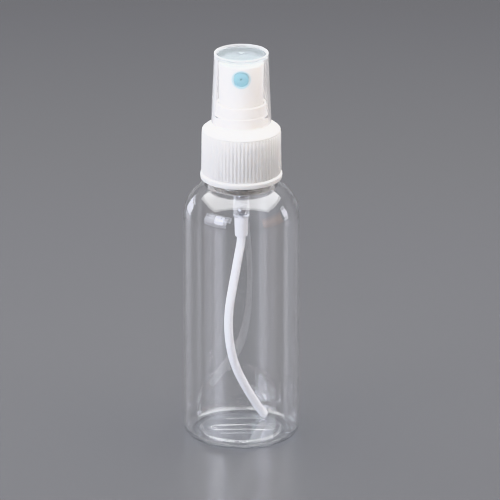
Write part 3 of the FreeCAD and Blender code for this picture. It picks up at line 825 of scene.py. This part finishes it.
def tube_centres():
    """Centre and heading along the dip tube, in its own plane, in mm."""
    across, height, heading = 0.0, TUBE_START, 0.0
    stations = [(across, height, heading)]
    for length, turn in TUBE_STRETCHES:
        steps = max(2, int(length / 0.8))
        for _ in range(steps):
            middle = heading + math.radians(turn) / steps / 2
            across -= math.sin(middle) * length / steps
            height -= math.cos(middle) * length / steps
            heading += math.radians(turn) / steps
            stations.append((across, height, heading))
    return stations


def dip_tube_mesh():
    shell = bmesh.new()
    sides = 32
    skins = []
    for radius in (TUBE_RADIUS, TUBE_BORE):
        rings = []
        for across, height, heading in tube_centres():
            ring = []
            for step in range(sides):
                a = FULL_TURN * step / sides
                side = radius * math.cos(a)
                along_x = across + side * math.cos(heading)
                up = height - side * math.sin(heading)
                depth = radius * math.sin(a)
                x = along_x * math.cos(TUBE_PLANE) - depth * math.sin(TUBE_PLANE)
                y = along_x * math.sin(TUBE_PLANE) + depth * math.cos(TUBE_PLANE)
                ring.append(shell.verts.new((x, y, up)))
            rings.append(ring)
        skins.append(rings)
        for lower, upper in zip(rings, rings[1:]):
            for step in range(sides):
                following = (step + 1) % sides
                shell.faces.new([lower[step], lower[following], upper[following], upper[step]])
    outer, inner = skins
    for end in (0, -1):
        for step in range(sides):
            following = (step + 1) % sides
            shell.faces.new([
                outer[end][step], outer[end][following], inner[end][following], inner[end][step],
            ])
    bmesh.ops.scale(shell, vec=(MM, MM, MM), verts=shell.verts)
    bmesh.ops.recalc_face_normals(shell, faces=shell.faces)
    return piece_from("dip_tube_wall", shell, MILKY_PE)


dip_tube = dip_tube_mesh()
stand_for(dip_tube, "pump_unit", "milky_tube", "dip_tube")


def coil(name, wire, radius, foot, top, turns):
    """Geometry Nodes: a coil spring of round wire between two heights, in mm."""
    tree = bpy.data.node_groups.new(name + "_tree", "GeometryNodeTree")
    face = tree.interface
    face.new_socket("Geometry", in_out="INPUT", socket_type="NodeSocketGeometry")
    sizes = {
        "Wire Radius": wire * MM,
        "Coil Radius": radius * MM,
        "Length": (top - foot - 2 * wire) * MM,
        "Turns": float(turns),
        "Foot": (foot + wire) * MM,
    }
    values = {}
    for label, value in sizes.items():
        socket = face.new_socket(label, in_out="INPUT", socket_type="NodeSocketFloat")
        values[socket.identifier] = value
    face.new_socket("Geometry", in_out="OUTPUT", socket_type="NodeSocketGeometry")
    source = add_node(tree, "NodeGroupInput")
    line = add_node(tree, "GeometryNodeCurveSpiral", None, {
        "Resolution": 28,
        "Rotations": source.outputs["Turns"],
        "Start Radius": source.outputs["Coil Radius"],
        "End Radius": source.outputs["Coil Radius"],
        "Height": source.outputs["Length"],
    })
    section = add_node(tree, "GeometryNodeCurvePrimitiveCircle", None, {
        "Resolution": 10,
        "Radius": source.outputs["Wire Radius"],
    })
    swept = add_node(tree, "GeometryNodeCurveToMesh", None, {
        "Curve": line.outputs["Curve"],
        "Profile Curve": section.outputs["Curve"],
        "Fill Caps": True,
    })
    lift = add_node(tree, "ShaderNodeCombineXYZ", None, {"Z": source.outputs["Foot"]})
    raised = add_node(tree, "GeometryNodeTransform", None, {
        "Geometry": swept.outputs["Mesh"],
        "Translation": lift.outputs["Vector"],
    })
    real = add_node(tree, "GeometryNodeRealizeInstances", None, {
        "Geometry": raised.outputs["Geometry"],
    })
    painted = add_node(tree, "GeometryNodeSetMaterial", None, {
        "Geometry": real.outputs["Geometry"],
        "Material": STEEL,
    })
    add_node(tree, "NodeGroupOutput", None, {"Geometry": painted.outputs["Geometry"]})
    spring = bpy.data.objects.new(name, bpy.data.meshes.new(name))
    bpy.context.scene.collection.objects.link(spring)
    return grown(spring, tree, values)


RETURN_FOOT = foot("return_spring")
RETURN_TOP = top("return_spring")
return_spring = coil("return_coil", 0.22, 1.75, RETURN_FOOT, RETURN_TOP, 9)
stand_for(return_spring, "pump_unit", "steel", "return_spring")
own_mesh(return_spring)

PRECOMPRESSION_FOOT = foot("precompression_spring")
PRECOMPRESSION_TOP = top("precompression_spring")
precompression = coil(
    "precompression_coil", 0.2, 2.5, PRECOMPRESSION_FOOT, PRECOMPRESSION_TOP, 4,
)
stand_for(precompression, "stem", "steel", "precompression_spring")
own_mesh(precompression)

for node, material in {
    "neck_gasket": SOFT_SEAL,
    "stem_seal": SOFT_SEAL,
    "upper_stem": WHITE_PP,
    "lower_stem": WHITE_PP,
    "piston": MILKY_PE,
    "ball_retainer": NATURAL_PP,
    "inlet_ball": STEEL,
}.items():
    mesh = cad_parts[node].data
    mesh.materials.clear()
    mesh.materials.append(material)


# ---------------------------------------------------------------- studio

def floor_paint():
    """Coated grey studio paper, which mirrors the lamps softly."""
    material = new_material("studio_paper")
    tree = material.node_tree
    # A paper's tooth is too fine to show, so it is drawn coarser than the real one.
    _, bump = surface_grain(tree, 1.5, 0.05, 0.02)
    paper = add_node(tree, "ShaderNodeBsdfPrincipled", None, {
        "Base Color": srgb("5E5E60"),
        "Roughness": 0.24,
        "IOR": 1.7,
        "Normal": bump.outputs["Normal"],
    })
    add_node(tree, "ShaderNodeOutputMaterial", None, {"Surface": paper.outputs["BSDF"]})
    return material


def studio_floor(half):
    """A flat square floor that reaches half this far each way, in metres."""
    shell = bmesh.new()
    corners = [(-half, -half), (half, -half), (half, half), (-half, half)]
    shell.faces.new([shell.verts.new((x, y, 0)) for x, y in corners])
    floor = piece_from("studio_floor", shell, floor_paint())


# The height that the lamps aim at, in metres.
LAMP_AIM = 0.07


def softbox(name, azimuth, elevation, distance, width, height, brightness, colour="FFFFFF"):
    """A soft lamp aimed at the bottle's middle, with sizes in metres and angles in degrees.

    Azimuth 0 is at the camera's side, and 90 to its right.
    """
    light = bpy.data.lights.new(name, "AREA")
    light.shape = "RECTANGLE"
    light.size = width
    light.size_y = height
    light.energy = brightness * math.pi * width * height
    light.color = srgb(colour)[:3]
    lamp = bpy.data.objects.new(name, light)
    bpy.context.scene.collection.objects.link(lamp)
    a, e = math.radians(azimuth), math.radians(elevation)
    aim = Vector((0, 0, LAMP_AIM))
    away = Vector((math.sin(a) * math.cos(e), -math.cos(a) * math.cos(e), math.sin(e)))
    lamp.location = aim + away * distance
    lamp.rotation_mode = "QUATERNION"
    lamp.rotation_quaternion = away.to_track_quat("Z", "Y")
    return lamp


def ceiling_box(name, height, width, front, back, brightness):
    """A flat lamp that faces straight down from a height, between two distances in Y."""
    lamp = softbox(name, 0, 90, 1, width, back - front, brightness)
    lamp.location = (0, (front + back) / 2, height)
    lamp.rotation_quaternion = (1, 0, 0, 0)
    return lamp


def studio_world(horizon, sky, low, high, strength):
    """Air that matches the floor at the horizon and brightens overhead."""
    world = bpy.data.worlds.new("studio_air")
    bpy.context.scene.world = world
    world.use_nodes = True
    tree = world.node_tree
    tree.nodes.clear()
    place = add_node(tree, "ShaderNodeTexCoord")
    height = add_node(tree, "ShaderNodeSeparateXYZ", None, {"Vector": place.outputs["Generated"]})
    rise = add_node(tree, "ShaderNodeMapRange", {"interpolation_type": "SMOOTHSTEP"}, {
        "Value": height.outputs["Z"],
        "From Min": math.sin(math.radians(low)),
        "From Max": math.sin(math.radians(high)),
    })
    shade = add_node(tree, "ShaderNodeValToRGB", None, {"Fac": rise.outputs["Result"]})
    shade.color_ramp.elements[0].color = srgb(horizon)
    shade.color_ramp.elements[1].color = srgb(sky)
    air = add_node(tree, "ShaderNodeBackground", None, {
        "Color": shade.outputs["Color"],
        "Strength": strength,
    })
    add_node(tree, "ShaderNodeOutputWorld", None, {"Surface": air.outputs["Background"]})


def camera(elevation, aim, distance, lens, sensor):
    """A long lens, looking down on the aim from the front. Elevation is in degrees."""
    data = bpy.data.cameras.new("studio_camera")
    data.lens = lens
    data.sensor_width = sensor
    data.clip_end = CLIP_END
    holder = bpy.data.objects.new("studio_camera", data)
    bpy.context.scene.collection.objects.link(holder)
    e = math.radians(elevation)
    back = Vector((0, -math.cos(e), math.sin(e)))
    holder.location = Vector(aim) + back * distance
    holder.rotation_mode = "QUATERNION"
    holder.rotation_quaternion = back.to_track_quat("Z", "Y")
    bpy.context.scene.camera = holder


FLOOR_HALF = 12.0
studio_floor(FLOOR_HALF)
ceiling_box("overhead", height=0.57, width=1.30, front=-0.30, back=0.50, brightness=4.4)

# (name, azimuth, elevation, distance, width, height, brightness, colour)
SOFTBOXES = [
    ("key_left", -54, 10, 0.90, 0.80, 0.36, 3.4, "ECEFFF"),
    ("key_left_top", -46, 22, 0.88, 0.78, 0.14, 3.6, "EEF2FF"),
    ("key_core", -46, 15, 0.86, 0.26, 0.26, 7.2, "EEF1FF"),
    ("strip_left_back", -131, 3, 0.90, 0.36, 0.26, 3.6, "EEF1FF"),
    ("strip_right_back", 100, 9, 0.90, 0.20, 0.36, 4.0, "F4F4FF"),
    ("warm_right", 66, 5, 1.20, 1.00, 0.50, 0.65, "FFB87C"),
]
for lamp_settings in SOFTBOXES:
    softbox(*lamp_settings)
studio_world(horizon="858488", sky="B9BAC0", low=3, high=40, strength=0.6)

LENS = 530.0
SENSOR = 36.0
CLIP_END = 30.0
# The stretch of the scene, in metres, that fills the frame's width at the bottle.
FRAME_WIDTH = 0.176741
camera(
    elevation=20.0, aim=(0.00305, 0, 0.0683), distance=LENS / SENSOR * FRAME_WIDTH,
    lens=LENS, sensor=SENSOR,
)
bpy.context.scene.view_settings.view_transform = "Khronos PBR Neutral"

# Light that runs along a clear wall meets it many times before it comes out.
CLEAR_WALL_BOUNCES = 48
bounces = bpy.context.scene.cycles
bounces.max_bounces = CLEAR_WALL_BOUNCES
bounces.glossy_bounces = CLEAR_WALL_BOUNCES
bounces.transmission_bounces = CLEAR_WALL_BOUNCES
bounces.transparent_max_bounces = CLEAR_WALL_BOUNCES
bounces.diffuse_bounces = 12
